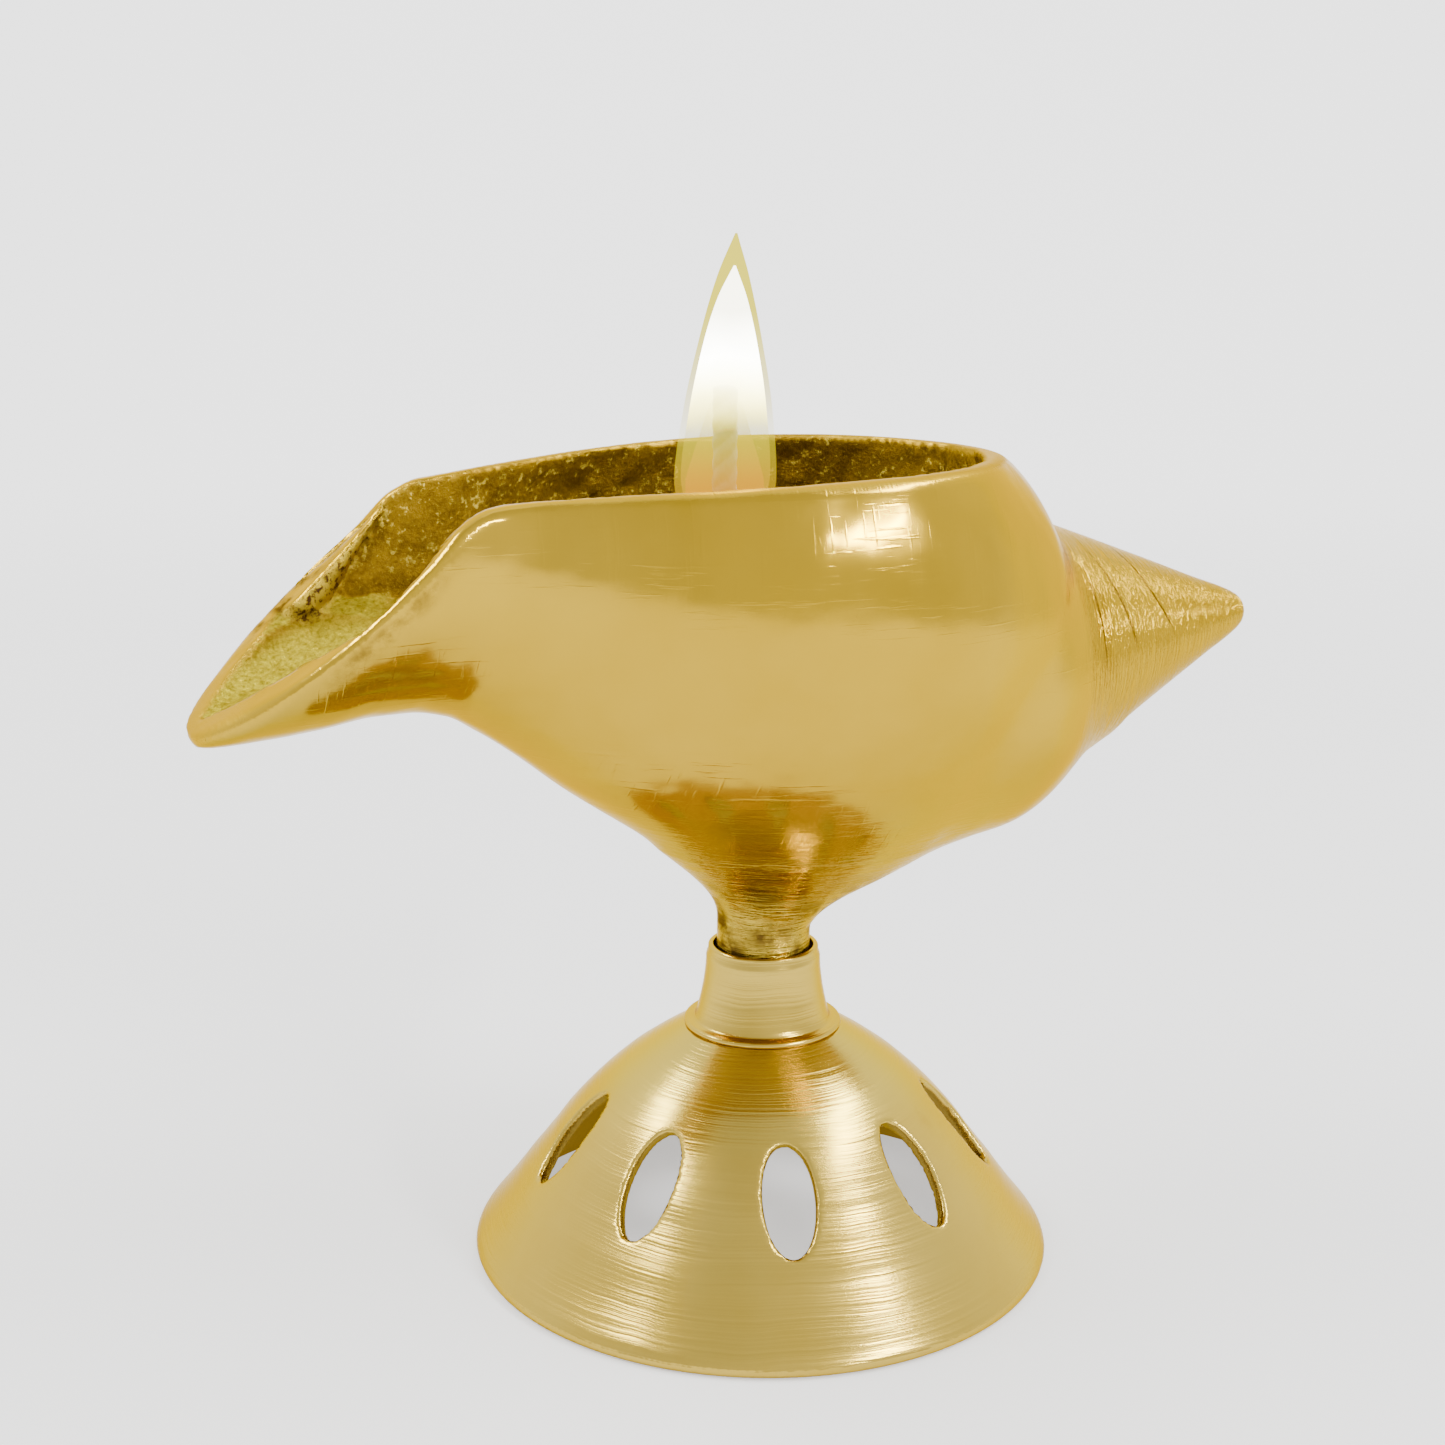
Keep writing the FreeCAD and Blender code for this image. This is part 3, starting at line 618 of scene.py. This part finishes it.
# ---- materials ----------------------------------------------------------------------------------
class Look:
    """Small helper that builds one material's nodes."""

    def __init__(self, name):
        self.material = bpy.data.materials.new(name)
        self.material.use_nodes = True
        self.nodes = self.material.node_tree.nodes
        self.links = self.material.node_tree.links
        self.shader = self.nodes["Principled BSDF"]
        self.where = self.nodes.new("ShaderNodeTexCoord").outputs["Object"]

    def link(self, source, target):
        self.links.new(source, target)

    def set(self, **values):
        for key, value in values.items():
            self.shader.inputs[key.replace("_", " ")].default_value = value

    def attribute(self, name):
        """Number that was painted on the mesh."""
        node = self.nodes.new("ShaderNodeAttribute")
        node.attribute_name = name
        return node.outputs["Fac"]

    def stretched(self, scale, turn=(0, 0, 0)):
        """Place on the object, turned and scaled unevenly, for marks that run one way."""
        node = self.nodes.new("ShaderNodeMapping")
        node.inputs["Scale"].default_value = scale
        node.inputs["Rotation"].default_value = turn
        self.link(self.where, node.inputs["Vector"])
        return node.outputs["Vector"]

    def noise(self, scale, detail=4.0, roughness=0.55, vector=None):
        """Noise in space with scale cells to a metre."""
        node = self.nodes.new("ShaderNodeTexNoise")
        node.inputs["Scale"].default_value = scale
        node.inputs["Detail"].default_value = detail
        node.inputs["Roughness"].default_value = roughness
        self.link(vector if vector is not None else self.where, node.inputs["Vector"])
        return node.outputs["Fac"]

    def bands(self, value, scale):
        """Noise along one number only."""
        node = self.nodes.new("ShaderNodeTexNoise")
        node.noise_dimensions = "1D"
        node.inputs["Scale"].default_value = scale
        node.inputs["Detail"].default_value = 4
        self.link(value, node.inputs["W"])
        return node.outputs["Fac"]

    def span(self, value, low, high, start=0.0, end=1.0):
        """Value from low..high brought to start..end."""
        node = self.nodes.new("ShaderNodeMapRange")
        for key, number in (("From Min", low), ("From Max", high), ("To Min", start), ("To Max", end)):
            node.inputs[key].default_value = number
        self.link(value, node.inputs["Value"])
        return node.outputs["Result"]

    def math(self, operation, a, b):
        """Result of an operation on two sockets or numbers."""
        node = self.nodes.new("ShaderNodeMath")
        node.operation = operation
        for socket, value in zip(node.inputs, (a, b)):
            if isinstance(value, (int, float)):
                socket.default_value = value
            else:
                self.link(value, socket)
        return node.outputs["Value"]

    def mix(self, factor, a, b):
        """Colour a where factor is 0, b where it is 1."""
        node = self.nodes.new("ShaderNodeMix")
        node.data_type = "RGBA"
        self.link(factor, node.inputs["Factor"])
        for socket, value in ((node.inputs[6], a), (node.inputs[7], b)):
            if isinstance(value, tuple):
                socket.default_value = (*value, 1.0)
            else:
                self.link(value, socket)
        return node.outputs[2]

    def blend(self, factor, a, b):
        """Number a where factor is 0, b where it is 1."""
        node = self.nodes.new("ShaderNodeMix")
        self.link(factor, node.inputs["Factor"])
        for socket, value in ((node.inputs["A"], a), (node.inputs["B"], b)):
            if isinstance(value, (int, float)):
                socket.default_value = value
            else:
                self.link(value, socket)
        return node.outputs["Result"]

    def bump(self, height, strength, distance, before=None):
        """Normal raised by a height, on top of the normal before it."""
        node = self.nodes.new("ShaderNodeBump")
        node.inputs["Distance"].default_value = distance
        if isinstance(strength, (int, float)):
            node.inputs["Strength"].default_value = strength
        else:
            self.link(strength, node.inputs["Strength"])
        self.link(height, node.inputs["Height"])
        if before is not None:
            self.link(before, node.inputs["Normal"])
        return node.outputs["Normal"]

    def finish(self, colour=None, roughness=None, normal=None):
        """Link the results to the shader and hand the material over."""
        for key, value in (("Base Color", colour), ("Roughness", roughness), ("Normal", normal)):
            if value is not None:
                self.link(value, self.shader.inputs[key])
        return self.material


GOLD_EDGE = (0.80, 0.62, 0.30, 1)     # what brass mirrors at a grazing view


def buffed_colour(look):
    """Outer skin, painted a little greener where it faces down to the foot, as a painted reflection of it,
    and painted darker on the spout's down-facing side, as painted shade.
    """
    tone = look.span(look.noise(38, 5), 0.35, 0.65)
    buffed = look.mix(tone, (0.41, 0.255, 0.008), (0.46, 0.295, 0.018))
    # painted reflection of the foot on the underside
    buffed = look.mix(look.attribute("under"), buffed, (0.42, 0.295, 0.030))
    # painted shade on the spout's down-facing side
    return look.mix(look.attribute("shaded_flank"), buffed, (0.30, 0.21, 0.022))


def raw_colour(look, grain):
    """Raw casting: dark amber walls with painted glints where they catch light, the speckled bead, and the
    yellower spout floor that is also painted lighter where it faces up.
    """
    # painted glints: bright specks painted into the colour of the upper wall
    glints = look.span(look.noise(1100, 6, 0.7), 0.57, 0.64)
    glints = look.math("MULTIPLY", glints, look.attribute("lit_wall"))
    wall = look.mix(grain, (0.15, 0.082, 0.004), (0.26, 0.155, 0.008))
    wall = look.mix(glints, wall, (0.70, 0.52, 0.06))
    specks = look.span(look.noise(1500, 6, 0.7), 0.50, 0.57)
    bead = look.mix(specks, (0.55, 0.39, 0.03), (0.075, 0.035, 0.012))
    wall = look.mix(look.attribute("bead"), wall, bead)
    # the spout's up-facing floor: a yellower colour with painted light where it faces up
    spout = look.mix(grain, (0.20, 0.150, 0.003), (0.56, 0.46, 0.022))
    return look.mix(look.attribute("spout"), wall, spout)


def scored_lines(look):
    """1 in the middle of each scored line of the spire, 0 away from them."""
    number = look.math("MULTIPLY", look.attribute("score"), SCORE_RANGE)
    past = look.math("FRACT", look.math("ADD", number, 0.5), 0)
    away = look.math("ABSOLUTE", look.math("SUBTRACT", past, 0.5), 0)
    wobble = look.span(look.noise(600, 4), 0.3, 0.7, -0.012, 0.012)
    line = look.span(look.math("ADD", away, wobble), 0.022, 0.05, 1.0, 0.0)
    return look.math("MULTIPLY", line, look.attribute("score_depth"))


def skin_relief(look):
    """Faint waves and scratches of the buffed skin, file marks on the spire and the stem."""
    fine = look.noise(170, 3, 0.5, look.stretched((1, 1, 14), (0.2, 0.5, 0.0)))
    cross = look.noise(150, 3, 0.5, look.stretched((16, 2, 1), (0.0, 0.3, 0.9)))
    lines = look.math("ADD", look.span(fine, 0.58, 0.72), look.span(cross, 0.60, 0.75))
    normal = look.bump(look.noise(110, 2), 0.4, 0.0008)
    normal = look.bump(lines, 0.12, 0.0001, normal)
    turned = look.span(look.noise(260, 3, 0.6, look.stretched((11, 1, 1), (0.0, 0.25, 0.0))), 0.40, 0.66)
    spire = look.attribute("spire")
    normal = look.bump(turned, look.math("MULTIPLY", spire, 0.7), 0.0003, normal)
    nicks = look.span(look.noise(240, 3, 0.6, look.stretched((1.5, 1, 9), (0.3, 0.9, 0.6))), 0.60, 0.68)
    normal = look.bump(nicks, look.math("MULTIPLY", spire, -0.8), 0.0004, normal)
    strokes = look.span(look.noise(300, 3, 0.6, look.stretched((1, 1, 12), (0.5, 0.0, 0.0))), 0.42, 0.6)
    return look.bump(strokes, look.math("MULTIPLY", look.attribute("filed"), 0.6), 0.00009, normal)


def bowl_brass():
    """Cast brass: buffed outside, raw and grainy inside, with dark deposits round the stem and the lips and
    painted shade under the spout's bend.
    """
    look = Look("bowl_brass")
    look.set(Metallic=1.0, Specular_Tint=GOLD_EDGE)
    inside, ground = look.attribute("inside"), look.attribute("ground")
    grain = look.span(look.noise(2300, 8, 0.7), 0.36, 0.68)
    colour = look.mix(inside, buffed_colour(look), raw_colour(look, grain))
    stain = look.span(look.noise(420, 6, 0.65), 0.38, 0.58)
    # dark deposits, and painted shade under the spout's bend, darken the colour
    dark = look.math("MULTIPLY", look.attribute("patina_and_shade"), stain)
    colour = look.mix(dark, colour, (0.075, 0.038, 0.009))
    line = scored_lines(look)
    colour = look.mix(look.math("MULTIPLY", line, 0.9), colour, (0.16, 0.085, 0.012))
    smear = look.span(look.noise(90, 6, 0.6), 0.3, 0.7, 0.11, 0.21)
    roughness = look.blend(inside, smear, look.span(grain, 0, 1, 0.45, 0.26))
    roughness = look.blend(ground, roughness, 0.36)
    roughness = look.blend(dark, roughness, 0.6)
    marks = look.noise(420, 2, 0.5, look.stretched((9, 1, 1), (0.0, 0.0, 0.35)))
    normal = look.bump(marks, look.math("MULTIPLY", ground, 0.6), 0.00012, skin_relief(look))
    normal = look.bump(line, -0.9, 0.0005, normal)
    cast = look.noise(2600, 8, 0.75)
    normal = look.bump(cast, look.math("MULTIPLY", inside, 0.9), 0.00022, normal)
    return look.finish(colour, roughness, normal)


def turned_brass(name):
    """Brass off the lathe and buffed: fine rings round Z that fray the edges of what it mirrors."""
    look = Look(name)
    look.set(Metallic=1.0, Anisotropic=0.35, Specular_Tint=GOLD_EDGE)
    tangent = look.nodes.new("ShaderNodeTangent")
    tangent.direction_type = "RADIAL"
    tangent.axis = "Z"
    look.link(tangent.outputs["Tangent"], look.shader.inputs["Tangent"])
    inside = look.attribute("inside")
    split = look.nodes.new("ShaderNodeSeparateXYZ")
    look.link(look.where, split.inputs[0])
    square = [look.math("MULTIPLY", split.outputs[k], split.outputs[k]) for k in (0, 1)]
    away = look.math("SQRT", look.math("ADD", *square), 0.0)
    drift = look.span(look.noise(45, 3), 0.3, 0.7, -0.0006, 0.0006)
    along = look.math("ADD", look.math("SUBTRACT", split.outputs[2], away), drift)
    rings = [look.bands(along, scale) for scale in (700, 2600)]
    tone = look.span(look.noise(60, 5), 0.35, 0.65)
    colour = look.mix(tone, (0.45, 0.31, 0.042), (0.49, 0.35, 0.06))
    # painted reflection of the bowl on the bell's upper part
    colour = look.mix(look.attribute("shoulder"), colour, (0.47, 0.35, 0.06))
    tarnish = look.span(look.noise(130, 7, 0.62), 0.60, 0.76, 0.0, 0.30)
    colour = look.mix(tarnish, colour, (0.33, 0.20, 0.03))
    colour = look.mix(inside, colour, (0.30, 0.19, 0.03))
    roughness = look.blend(inside, look.span(rings[1], 0.3, 0.7, 0.15, 0.25), 0.45)
    normal = look.bump(rings[0], 0.5, 0.00006)
    normal = look.bump(rings[1], 0.6, 0.00004, normal)
    normal = look.bump(look.noise(900, 5), 0.03, 0.0001, normal)
    return look.finish(colour, roughness, normal)


def plated_steel():
    """Dull plating on the stud and the washers."""
    look = Look("plated_steel")
    look.set(Metallic=1.0)
    colour = look.mix(look.span(look.noise(500, 5), 0.35, 0.65), (0.50, 0.49, 0.45), (0.66, 0.65, 0.61))
    roughness = look.span(look.noise(1200, 4), 0.3, 0.7, 0.28, 0.45)
    return look.finish(colour, roughness, look.bump(look.noise(3000, 4), 0.1, 0.00005))


def cotton():
    """Grey twisted cotton, scorched towards its top."""
    look = Look("cotton")
    low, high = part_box("wick")
    look.set(Roughness=0.9, Sheen_Weight=0.4, Sheen_Roughness=0.5)
    split = look.nodes.new("ShaderNodeSeparateXYZ")
    look.link(look.where, split.inputs[0])
    fibres = look.noise(900, 6, 0.7, look.stretched((1, 1, 0.25)))
    plain = look.mix(look.span(fibres, 0.3, 0.7), (0.17, 0.16, 0.13), (0.34, 0.32, 0.27))
    scorch = look.span(split.outputs[2], high[2] - 0.009, high[2] - 0.0005)
    colour = look.mix(scorch, plain, (0.14, 0.13, 0.11))
    return look.finish(colour, None, look.bump(fibres, 0.6, 0.0002))


def flame_look(name, stops, rise, strength, opacity):
    """Glowing surface whose colour, brightness and opacity change with the share of the flame's height."""
    material = bpy.data.materials.new(name)
    material.use_nodes = True
    nodes, links = material.node_tree.nodes, material.node_tree.links
    nodes.clear()
    output = nodes.new("ShaderNodeOutputMaterial")
    glow = nodes.new("ShaderNodeEmission")
    ramp = nodes.new("ShaderNodeValToRGB")
    while len(ramp.color_ramp.elements) < len(stops):
        ramp.color_ramp.elements.new(0.5)
    for element, (place, colour) in zip(ramp.color_ramp.elements, stops):
        element.position = place
        element.color = (*colour, 1.0)
    where = nodes.new("ShaderNodeTexCoord")
    flicker = nodes.new("ShaderNodeTexNoise")
    flicker.inputs["Scale"].default_value = 160
    links.new(where.outputs["Object"], flicker.inputs["Vector"])
    split = nodes.new("ShaderNodeSeparateXYZ")
    links.new(where.outputs["Object"], split.inputs[0])
    low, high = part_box("flame")
    height = span_node(nodes, links, split.outputs[2], (low[2], high[2]), (-0.05, 0.95))
    stir = nodes.new("ShaderNodeMath")
    stir.operation = "MULTIPLY_ADD"
    stir.inputs[1].default_value = 0.10
    links.new(flicker.outputs["Fac"], stir.inputs[0])
    links.new(height, stir.inputs[2])
    links.new(stir.outputs[0], ramp.inputs["Fac"])
    links.new(ramp.outputs["Color"], glow.inputs["Color"])
    links.new(span_node(nodes, links, stir.outputs[0], rise, strength), glow.inputs["Strength"])
    clear = nodes.new("ShaderNodeBsdfTransparent")
    mix = nodes.new("ShaderNodeMixShader")
    links.new(span_node(nodes, links, stir.outputs[0], rise, opacity), mix.inputs["Fac"])
    links.new(clear.outputs[0], mix.inputs[1])
    links.new(glow.outputs[0], mix.inputs[2])
    links.new(mix.outputs[0], output.inputs["Surface"])
    return material


def span_node(nodes, links, value, source, target):
    """Value from the source range brought to the target range."""
    node = nodes.new("ShaderNodeMapRange")
    for key, number in zip(("From Min", "From Max", "To Min", "To Max"), (*source, *target)):
        node.inputs[key].default_value = number
    links.new(value, node.inputs["Value"])
    return node.outputs["Result"]


def floor_look():
    """Matt pale floor that melts into the studio's own brightness away from the lamp."""
    look = Look("floor")
    look.set(Roughness=0.7, Specular_IOR_Level=0.1)
    colour = look.mix(look.span(look.noise(3, 3), 0.3, 0.7), (0.55, 0.55, 0.545), (0.57, 0.57, 0.57))
    look.finish(colour)
    look.shader.inputs["Emission Color"].default_value = (1, 1, 1, 1)
    look.shader.inputs["Emission Strength"].default_value = FLOOR_GLOW
    far = look.nodes.new("ShaderNodeVectorMath")
    far.operation = "LENGTH"
    look.link(look.where, far.inputs[0])
    clear = look.nodes.new("ShaderNodeBsdfTransparent")
    mix = look.nodes.new("ShaderNodeMixShader")
    fade = look.nodes.new("ShaderNodeMapRange")
    fade.interpolation_type = "SMOOTHERSTEP"
    fade.inputs["From Min"].default_value = FLOOR_FADE[0]
    fade.inputs["From Max"].default_value = FLOOR_FADE[1]
    look.link(far.outputs["Value"], fade.inputs["Value"])
    look.link(fade.outputs["Result"], mix.inputs["Fac"])
    look.link(look.shader.outputs[0], mix.inputs[1])
    look.link(clear.outputs[0], mix.inputs[2])
    look.link(mix.outputs[0], look.nodes["Material Output"].inputs["Surface"])
    return look.material


# ---- stage --------------------------------------------------------------------------------------
def turn_to_camera(v):
    """From the picture's axes (right, away, up) to the object's."""
    c, s = math.cos(CAMERA_TURN), math.sin(CAMERA_TURN)
    return np.array([c * v[0] + s * v[1], -s * v[0] + c * v[1], v[2]])


def placed(side, up, back, place):
    """Matrix of something that looks away from back."""
    return Matrix([[side[k], up[k], back[k], place[k]] for k in range(3)] + [[0, 0, 0, 1]])


def make_camera():
    """Camera in front of the near side, turned so that the shell's spout comes towards it."""
    pitch, yaw, roll = CAMERA_PITCH, CAMERA_YAW, CAMERA_ROLL
    forward = np.array([math.sin(yaw) * math.cos(pitch), math.cos(yaw) * math.cos(pitch), -math.sin(pitch)])
    right = np.array([math.cos(yaw), -math.sin(yaw), 0.0])
    down = np.cross(forward, right)
    across = math.cos(roll) * right - math.sin(roll) * down
    below = math.sin(roll) * right + math.cos(roll) * down
    place = turn_to_camera((0, -CAMERA_BACK, CAMERA_HEIGHT)) * 0.001
    axes = [turn_to_camera(v) for v in (across, -below, -forward)]
    camera = bpy.data.objects.new("camera", bpy.data.cameras.new("camera"))
    camera.data.lens = CAMERA_LENS
    camera.data.sensor_width = 36.0
    camera.data.clip_start = 0.005
    camera.matrix_world = placed(*axes, place)
    bpy.context.scene.collection.objects.link(camera)
    bpy.context.scene.camera = camera


def area_light(name, place, size, power, roll):
    """Elliptical softbox that faces the lamp."""
    data = bpy.data.lights.new(name, "AREA")
    data.shape = "ELLIPSE"
    data.size, data.size_y = size
    data.energy = power
    light = bpy.data.objects.new(name, data)
    back = np.array(place, float) - np.array(LAMP_MIDDLE)
    back /= np.linalg.norm(back)
    side = np.cross([0, 0, 1.0], back)
    side /= np.linalg.norm(side)
    side = side * math.cos(roll) + np.cross(back, side) * math.sin(roll)
    up = np.cross(back, side)
    light.matrix_world = placed(side, up, back, place)
    bpy.context.scene.collection.objects.link(light)


def level_ramp(nodes, links, value, levels, interpolation):
    """A number that follows (place, level) stops."""
    ramp = nodes.new("ShaderNodeValToRGB")
    ramp.color_ramp.interpolation = interpolation
    while len(ramp.color_ramp.elements) < len(levels):
        ramp.color_ramp.elements.new(0.5)
    for element, (place, level) in zip(ramp.color_ramp.elements, levels):
        element.position = place
        element.color = (level, level, level, 1)
    links.new(value, ramp.inputs["Fac"])
    return ramp.outputs["Color"]


def node_math(nodes, links, operation, a, b):
    """Math node on two sockets, or on a socket and a number."""
    node = nodes.new("ShaderNodeMath")
    node.operation = operation
    links.new(a, node.inputs[0])
    if isinstance(b, float):
        node.inputs[1].default_value = b
    else:
        links.new(b, node.inputs[1])
    return node.outputs[0]


def make_world():
    """Studio walls: brightest behind the lamp, half that on the camera's side, a little less overhead."""
    world = bpy.data.worlds.new("studio")
    bpy.context.scene.world = world
    world.use_nodes = True
    nodes, links = world.node_tree.nodes, world.node_tree.links
    where = nodes.new("ShaderNodeTexCoord").outputs["Generated"]
    split = nodes.new("ShaderNodeSeparateXYZ")
    links.new(where, split.inputs[0])
    turn = nodes.new("ShaderNodeVectorRotate")
    turn.rotation_type = "Z_AXIS"
    turn.inputs["Angle"].default_value = CAMERA_TURN
    links.new(where, turn.inputs["Vector"])
    flat = nodes.new("ShaderNodeSeparateXYZ")
    links.new(turn.outputs[0], flat.inputs[0])
    bearing = node_math(nodes, links, "ARCTAN2", flat.outputs[0], flat.outputs[1])
    share = span_node(nodes, links, bearing, (-math.pi, math.pi), (0, 1))
    around = level_ramp(nodes, links, share, ROOM, "B_SPLINE")
    height = level_ramp(nodes, links, split.outputs[2], SKY, "EASE")
    level = node_math(nodes, links, "MULTIPLY", around, height)
    strength = node_math(nodes, links, "MULTIPLY", level, BACKDROP)
    background = nodes["Background"]
    background.inputs["Color"].default_value = (1, 1, 1, 1)
    links.new(strength, background.inputs["Strength"])


def make_stage():
    """Round pale floor, the studio walls and the softboxes."""
    rim = [(FLOOR_RADIUS * math.cos(a), FLOOR_RADIUS * math.sin(a), 0)
           for a in np.linspace(0, 2 * math.pi, FLOOR_SIDES, endpoint=False)]
    floor = make_mesh("floor", rim, [tuple(range(FLOOR_SIDES))])
    floor.data.materials.append(floor_look())
    make_world()
    for name, place, size, radiance, roll in SOFTBOXES:
        power = radiance * math.pi * size[0] * size[1]
        area_light(name, turn_to_camera(place), size, power, math.radians(roll))


# ---- putting it together ------------------------------------------------------------------------
def put(piece, body, slot, look, *nodes):
    """Give a piece its look and its body, and hide the CAD nodes that it stands for; its slot is not used."""
    piece.data.materials.clear()
    piece.data.materials.append(look)
    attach(piece, body)
    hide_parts(*nodes)


def recolour(node, look):
    """Keep a CAD node as it is, with another material."""
    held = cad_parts[node].data.materials
    held.clear()
    held.append(look)


make_camera()
make_stage()
steel = plated_steel()
foot_brass = turned_brass("foot_brass")
put(make_bowl(), "bowl", "bowl_brass", bowl_brass(), "conch_bowl")
put(make_thread(), "bowl", "steel", steel, "stem_stud")
put(make_bell(), "foot", "foot_brass", foot_brass, "foot_bell")
put(make_collar(), "foot", "foot_brass", foot_brass, "collar")
recolour("ring_nut", foot_brass)
recolour("tail_washer", steel)
recolour("seat_washer", steel)
put(make_wick(), "wick", "cotton", cotton(), "wick")
for name, (outline, lean, sway, *glow) in FLAME.items():
    put(make_flame(name, outline, lean, sway), "wick", "flame", flame_look(name, *glow), "flame")
